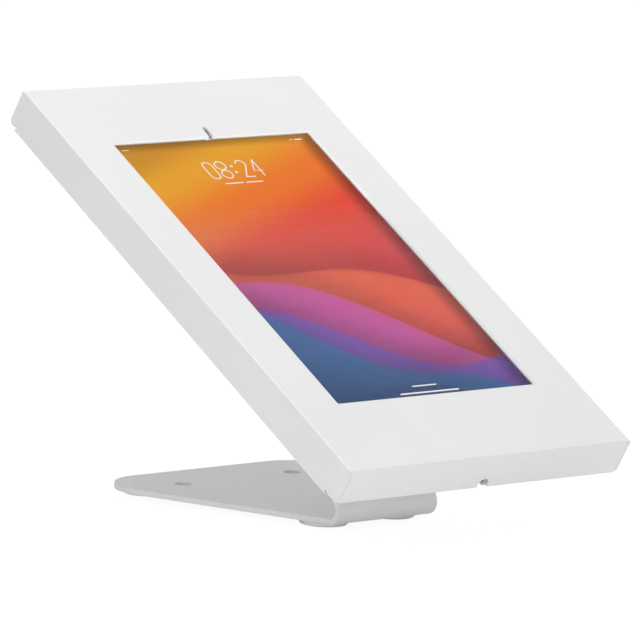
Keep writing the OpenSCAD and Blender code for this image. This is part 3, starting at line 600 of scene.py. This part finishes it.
CLOCK_UP = 0.0862  # distance of the clock's middle over the screen's
DIGIT_W, DIGIT_H = 0.0062, 0.0142
DIGIT_PLACES = (-0.0158, -0.0072, 0.0072, 0.0158)  # across the screen
STROKE = 0.00075  # width of a digit's line
STEM_SHARE = 0.2  # place of the four's stem from its middle, as a share of its width
EIGHT_R = 0.0034  # radius of the eight's rings
EIGHT_SINK = 0.95  # height of its lower ring's middle over its foot, as a share of that radius
DOT_R, DOT_UP = 0.00084, 0.0026  # radius of the colon's dots, and their distance from the middle


def build_clock():
    """Four thin digits with a colon between them."""
    shape = bmesh.new()
    middle = screen_up + CLOCK_UP
    top, foot = middle + DIGIT_H / 2, middle - DIGIT_H / 2
    nought, eight, two, four = DIGIT_PLACES
    half = DIGIT_W / 2
    stem = four + DIGIT_W * STEM_SHARE
    bar = middle - DIGIT_H / 6
    for line in (
        loop((nought, middle), DIGIT_W, DIGIT_H),
        ring((eight, top - EIGHT_R), EIGHT_R, 32),
        ring((eight, foot + EIGHT_R * EIGHT_SINK), EIGHT_R, 32),
    ):
        ribbon(shape, line, STROKE, mark_height, closed=True)
    for line in (
        arc((two, top - half), half, 165, -35, 20) + [(two - half, foot)],
        [(two - half, foot), (two + half, foot)],
        [(stem, foot), (stem, top)],
        [(stem, top), (four - half, bar), (four + half, bar)],
    ):
        ribbon(shape, line, STROKE, mark_height)
    for rise in (-DOT_UP, DOT_UP):
        patch(shape, ring((0.0, middle + rise), DOT_R, 20), mark_height)
    return mesh_from(shape, "screen_clock")


# Bars of the screen: place across and up from its middle, length and thickness
SCREEN_BARS = (
    # Under the clock
    (-0.0075, 0.0746, 0.012, 0.0008),
    (0.0065, 0.0746, 0.011, 0.0008),
    # At the screen's foot
    (0.0, -0.0997, 0.016, 0.0009),
    (0.0, -0.105, 0.040, 0.0011),
    # In its top corners
    (-0.0605, 0.1078, 0.0045, 0.0005),
    (0.0555, 0.1078, 0.002, 0.0005),
    (0.0605, 0.1078, 0.0045, 0.0009),
)


def build_bars():
    """Plain bars where a lock screen keeps its short lines."""
    shape = bmesh.new()
    for x, y, long, thick in SCREEN_BARS:
        left, right = (x - long / 2, screen_up + y), (x + long / 2, screen_up + y)
        patch(shape, arc(left, thick / 2, 90, 270, 8) + arc(right, thick / 2, -90, 90, 8), mark_height)
    return mesh_from(shape, "screen_bars")


print_depth(piece_from("screen_clock", build_clock(), screen_mark, "case"))
print_depth(piece_from("screen_bars", build_bars(), screen_mark, "case"))

PRINT_EDGE = 0.0004  # distance of the border print from the glass's edge
PRINT_GAP = 0.0002  # its distance from the camera
PRINT_CORNER = 0.0076  # radius of its corners


def build_border():
    """Print on the glass's back, round the display and the front camera: white, greyed by painted shade."""
    shape = bmesh.new()
    height = glass_low.z + BORDER_RISE
    inset = PRINT_EDGE + PRINT_CORNER
    left, right = glass_low.x + inset, glass_high.x - inset
    foot, top = glass_low.y + inset, glass_high.y - inset
    rim = []
    for middle, start in (((right, top), 0), ((left, top), 90), ((left, foot), 180), ((right, foot), 270)):
        rim += arc(middle, PRINT_CORNER, start, start + 90, 8)
    inner = [(display_high.x, display_high.y), (display_low.x, display_high.y),
             (display_low.x, display_low.y), (display_high.x, display_low.y)]
    hole = ring((0.0, camera_up), (camera_high.x - camera_low.x) / 2 + PRINT_GAP, 32)
    edges = []
    for line in (rim, inner, hole):
        ends = [case_point(shape, x, y, height) for x, y in line]
        edges += [shape.edges.new((ends[i - 1], ends[i])) for i in range(len(ends))]
    outwards = CASE.to_3x3() @ Vector((0, 0, 1))
    bmesh.ops.triangle_fill(shape, use_beauty=True, use_dissolve=False, edges=edges, normal=outwards)
    return mesh_from(shape, "screen_border")


print_depth(piece_from("screen_border", build_border(), border_print_with_painted_shade, "case"))

PAD_BULGE = 0.0012  # how far a pad's sides bulge
PAD_CUTS = 14  # cuts across each side of a pad
SEAL_ROUNDING = 0.0003  # width of the seal's rounded edges


def build_pad(name):
    """A foam pad whose sides bulge a little where the tablet presses it."""
    low, high = case_box(name)
    middle, half = (low + high) / 2, (high - low) / 2
    shape = bmesh.new()
    bmesh.ops.create_cube(shape, size=2.0)
    bmesh.ops.subdivide_edges(shape, edges=shape.edges, cuts=PAD_CUTS, use_grid_fill=True)
    for v in shape.verts:
        p = v.co.copy()
        swell = 1 - p.z * p.z
        x = p.x * (half.x - PAD_BULGE + PAD_BULGE * swell * (1 - p.y ** 4))
        y = p.y * (half.y - PAD_BULGE + PAD_BULGE * swell * (1 - p.x ** 4))
        v.co = CASE @ Vector((middle.x + x, middle.y + y, middle.z + p.z * half.z))
    for face in shape.faces:
        face.smooth = True
    return mesh_from(shape, name + "_soft")


for name in ("foam_pad_upper", "foam_pad_lower"):
    pad = piece_from(name + "_soft", build_pad(name), pad_foam, "case")
    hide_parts(name)

seal = piece_from("window_seal_soft", merged_copy("window_seal"), seal_foam, "cover")
modify(seal, "rounding", "BEVEL", width=SEAL_ROUNDING, segments=3, limit_method="ANGLE")
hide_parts("window_seal")


def build_dots_on_places():
    """Low round dots on given places: weld spots and speaker holes."""
    tree = bpy.data.node_groups.new("dots_on_places", "GeometryNodeTree")
    for label, kind in (
        ("Places", "NodeSocketGeometry"), ("Radius", "NodeSocketFloat"), ("Rise", "NodeSocketFloat"),
        ("Turn", "NodeSocketVector"), ("Finish", "NodeSocketMaterial"),
    ):
        tree.interface.new_socket(label, in_out="INPUT", socket_type=kind)
    tree.interface.new_socket("Dots", in_out="OUTPUT", socket_type="NodeSocketGeometry")
    take = tree.nodes.new("NodeGroupInput").outputs
    dot = put(tree, "GeometryNodeMeshUVSphere", {"Segments": 20, "Rings": 8, "Radius": 1.0}).outputs["Mesh"]
    flat = {0: take["Radius"], 1: take["Rise"], 2: take["Radius"]}
    size = put(tree, "ShaderNodeCombineXYZ", flat).outputs[0]
    turn = put(tree, "FunctionNodeEulerToRotation", {0: take["Turn"]}).outputs[0]
    placed = put(tree, "GeometryNodeInstanceOnPoints", {
        "Points": take["Places"], "Instance": dot, "Rotation": turn, "Scale": size}).outputs[0]
    whole = put(tree, "GeometryNodeRealizeInstances", {"Geometry": placed}).outputs[0]
    rounded = put(tree, "GeometryNodeSetShadeSmooth", {"Geometry": whole}).outputs[0]
    finish = {"Geometry": rounded, "Material": take["Finish"]}
    finished = put(tree, "GeometryNodeSetMaterial", finish).outputs[0]
    tree.links.new(finished, tree.nodes.new("NodeGroupOutput").inputs["Dots"])
    return tree


DOTS_ON_PLACES = build_dots_on_places()


def dots(name, places, radius, rise, finish):
    """A mesh of dots on places of the case's frame, each flat along the case's height."""
    points = bpy.data.meshes.new(name + "_places")
    points.from_pydata([CASE @ Vector(p) for p in places], [], [])
    holder = bpy.data.objects.new(name + "_places", points)
    bpy.context.scene.collection.objects.link(holder)
    rule = holder.modifiers.new("dots", "NODES")
    rule.node_group = DOTS_ON_PLACES
    values = {"Radius": radius, "Rise": rise, "Turn": (case_slope, 0.0, 0.0), "Finish": finish}
    for socket in DOTS_ON_PLACES.interface.items_tree:
        if socket.name in values:
            rule[socket.identifier] = values[socket.name]
    mesh = bpy.data.meshes.new_from_object(holder.evaluated_get(bpy.context.evaluated_depsgraph_get()))
    mesh.name = name
    bpy.data.objects.remove(holder)
    bpy.data.meshes.remove(points)
    return mesh


WELD_BAND = 0.002  # band at a welded plate's front end, whose points show where its face is
LEAF_WELD_DEPTH, KEEPER_WELD_DEPTH = 0.0038, 0.0032  # depth of the spots below that end
LEAF_WELD_SHARES = (0.14, 0.5, 0.86)  # places of the spots along a hinge leaf, as shares of its width
KEEPER_WELD_INSET = 0.005  # distance of the spots from the keeper's ends


def cover_weld_places():
    """Weld spots that hold the hinge leaves and the keeper on the cover's end walls."""
    spots = []
    for name in ("cover_hinge_leaf_left", "cover_hinge_leaf_right"):
        low, high = case_box(name)
        plate = min(p.y for p in case_places(name) if p.z > high.z - WELD_BAND)
        for share in LEAF_WELD_SHARES:
            spots.append((low.x + (high.x - low.x) * share, plate, high.z - LEAF_WELD_DEPTH))
    low, high = case_box("lock_keeper")
    plate = max(p.y for p in case_places("lock_keeper") if p.z > high.z - WELD_BAND)
    ends = (low.x + KEEPER_WELD_INSET, high.x - KEEPER_WELD_INSET)
    return spots + [(x, plate, high.z - KEEPER_WELD_DEPTH) for x in ends]


weld_dots = dots("cover_weld_spots", cover_weld_places(), radius=0.0018, rise=0.00022, finish=weld_steel)
piece_from("cover_weld_spots", weld_dots, weld_steel, "cover")

# Holes in the tablet's bottom edge
shell_low, shell_high = case_box("tablet_shell")
edge_middle = (shell_low.z + shell_high.z) / 2
SPEAKER_START = 0.016  # distance of the first speaker hole from the middle
SPEAKER_PITCH = 0.0022  # spacing of the holes in a row
SPEAKER_COUNT = 10  # holes in a row
SPEAKER_ROW = 0.0011  # distance of a row from the edge's middle
speaker_places = [
    (side * (SPEAKER_START + SPEAKER_PITCH * i), shell_low.y, edge_middle + rise)
    for side in (-1, 1) for i in range(SPEAKER_COUNT) for rise in (-SPEAKER_ROW, SPEAKER_ROW)]
speaker_dots = dots("speaker_holes", speaker_places, radius=0.0007, rise=0.00004, finish=socket_black)
piece_from("speaker_holes", speaker_dots, socket_black, "case")

SOCKET_MOUTH = (0.0088, 0.003, 0.00004)  # width, height and rise of the charging socket's mouth
SOCKET_TONGUE = (0.0062, 0.0008, 0.00007)  # the same of its tongue
SOCKET_SINK = 0.0002  # how deep both go into the edge


def build_port():
    """Dark mouth of the charging socket in the tablet's bottom edge, with a raised tongue."""
    shape = bmesh.new()
    for w, h, rise in (SOCKET_MOUTH, SOCKET_TONGUE):
        line = [(y, x) for x, y in loop((0.0, 0.0), h, w)]
        front = [case_point(shape, x, shell_low.y - rise, edge_middle + z) for x, z in line]
        back = [case_point(shape, x, shell_low.y + SOCKET_SINK, edge_middle + z) for x, z in line]
        shape.faces.new(front)
        shape.faces.new(back[::-1])
        for i in range(len(line)):
            shape.faces.new((front[i - 1], front[i], back[i], back[i - 1]))
    bmesh.ops.recalc_face_normals(shape, faces=shape.faces)
    return mesh_from(shape, "charging_socket")


piece_from("charging_socket", build_port(), socket_black, "case")


# Floor, light and camera
FLOOR_REACH = 40.0  # half of the floor's width
FLOOR_DROP = 0.0002  # how far it lies below the feet
FLOOR_WHITE = 0.8  # share of plain white in what the camera sees of it
FLOOR_LIFT = 0.12  # white added to that
LIGHT_LOW, LIGHT_HIGH = 0.58, 0.44  # strength of the even light at the horizon and overhead
LIGHT_STEADY = 0.8  # height, from 0 to 1, over which it stays the same


def seen_directly(tree):
    """1 for what the camera sees, also in metal and through glass, and 0 for the light that things get."""
    path = put(tree, "ShaderNodeLightPath").outputs
    seen = sums(tree, "MAXIMUM", path["Is Camera Ray"], path["Is Transmission Ray"])
    return sums(tree, "MAXIMUM", seen, path["Is Glossy Ray"])


def build_floor():
    """Plain floor that stays white for the camera, apart from the part's shadow."""
    shape = bmesh.new()
    bmesh.ops.create_grid(shape, x_segments=1, y_segments=1, size=FLOOR_REACH)
    for v in shape.verts:
        v.co.z = -FLOOR_DROP
    mesh = mesh_from(shape, "floor")
    made, tree, shader = start_material(
        "floor_white", Base_Color=(0.9, 0.9, 0.9, 1.0), Roughness=0.9, Specular_IOR_Level=0.0)[:3]
    white = put(tree, "ShaderNodeEmission").outputs[0]
    seen = seen_directly(tree)
    share = sums(tree, "MULTIPLY", seen, FLOOR_WHITE)
    mixed = put(tree, "ShaderNodeMixShader", {0: share, 1: shader.outputs[0], 2: white})
    brighter = put(tree, "ShaderNodeEmission", {"Strength": sums(tree, "MULTIPLY", seen, FLOOR_LIFT)})
    shown = put(tree, "ShaderNodeAddShader", {0: mixed.outputs[0], 1: brighter.outputs[0]})
    tree.links.new(shown.outputs[0], tree.nodes["Material Output"].inputs["Surface"])
    mesh.materials.append(made)
    floor = bpy.data.objects.new("floor", mesh)
    bpy.context.scene.collection.objects.link(floor)


build_floor()


def build_world():
    """Even white light, and a white backdrop for the camera and for what metal and glass show."""
    world = bpy.data.worlds.new("studio")
    bpy.context.scene.world = world
    world.use_nodes = True
    tree = world.node_tree
    around = put(tree, "ShaderNodeTexCoord").outputs["Generated"]
    up = put(tree, "ShaderNodeSeparateXYZ", {0: around}).outputs[2]
    light = ranged(tree, up, 0.0, LIGHT_STEADY, LIGHT_LOW, LIGHT_HIGH)
    strength = ranged(tree, seen_directly(tree), 0.0, 1.0, light, 1.0)
    tree.links.new(strength, tree.nodes["Background"].inputs["Strength"])
    tree.nodes["Background"].inputs["Color"].default_value = (1.0, 1.0, 1.0, 1.0)


build_world()


def add_lamp(name, place, aim, size, power):
    """A round soft lamp that points at a place."""
    lamp = bpy.data.lights.new(name, "AREA")
    lamp.shape, lamp.size, lamp.energy = "DISK", size, power
    made = bpy.data.objects.new(name, lamp)
    made.location = place
    made.rotation_euler = (Vector(aim) - Vector(place)).to_track_quat("-Z", "Y").to_euler()
    bpy.context.scene.collection.objects.link(made)


add_lamp("key_lamp", place=(0.2, 0.2, 1.8), aim=(0.0, 0.0, 0.1), size=0.8, power=13.2)
add_lamp("left_fill", place=(-1.3, -0.4, 0.3), aim=(0.0, -0.05, 0.05), size=0.5, power=2.5)
add_lamp("front_fill", place=(-0.5, -1.35, 0.06), aim=(0.0, -0.05, 0.03), size=0.4, power=4.4)

CAMERA_AROUND = 41.038  # degrees to the left of the front
CAMERA_ABOVE = 8.886  # degrees above the floor
CAMERA_ROLL = 2.55  # degrees
CAMERA_RIGHT, CAMERA_UP, CAMERA_BACK = 0.006863, 0.099474, 3.478703  # from the origin, along its own axes
CAMERA_LENS, CAMERA_SENSOR = 366.6, 36.0  # millimetres


def build_camera():
    """Camera at the photograph's angle: left of the front, a little above, with a slight roll."""
    around, above, roll = (math.radians(a) for a in (CAMERA_AROUND, CAMERA_ABOVE, CAMERA_ROLL))
    back = Vector((-math.sin(around) * math.cos(above), -math.cos(around) * math.cos(above), math.sin(above)))
    right = Vector((math.cos(around), -math.sin(around), 0.0))
    up = back.cross(right)
    turned = Matrix.Rotation(roll, 3, back)
    right, up = turned @ right, turned @ up
    place = right * CAMERA_RIGHT + up * CAMERA_UP + back * CAMERA_BACK
    turn = Matrix((right, up, back)).transposed().to_4x4()
    lens = bpy.data.cameras.new("camera")
    lens.lens, lens.sensor_width = CAMERA_LENS, CAMERA_SENSOR
    lens.clip_start, lens.clip_end = 0.05, 100.0
    made = bpy.data.objects.new("camera", lens)
    made.matrix_world = Matrix.Translation(place) @ turn
    bpy.context.scene.collection.objects.link(made)
    bpy.context.scene.camera = made


build_camera()
bpy.context.scene.view_settings.view_transform = "Standard"
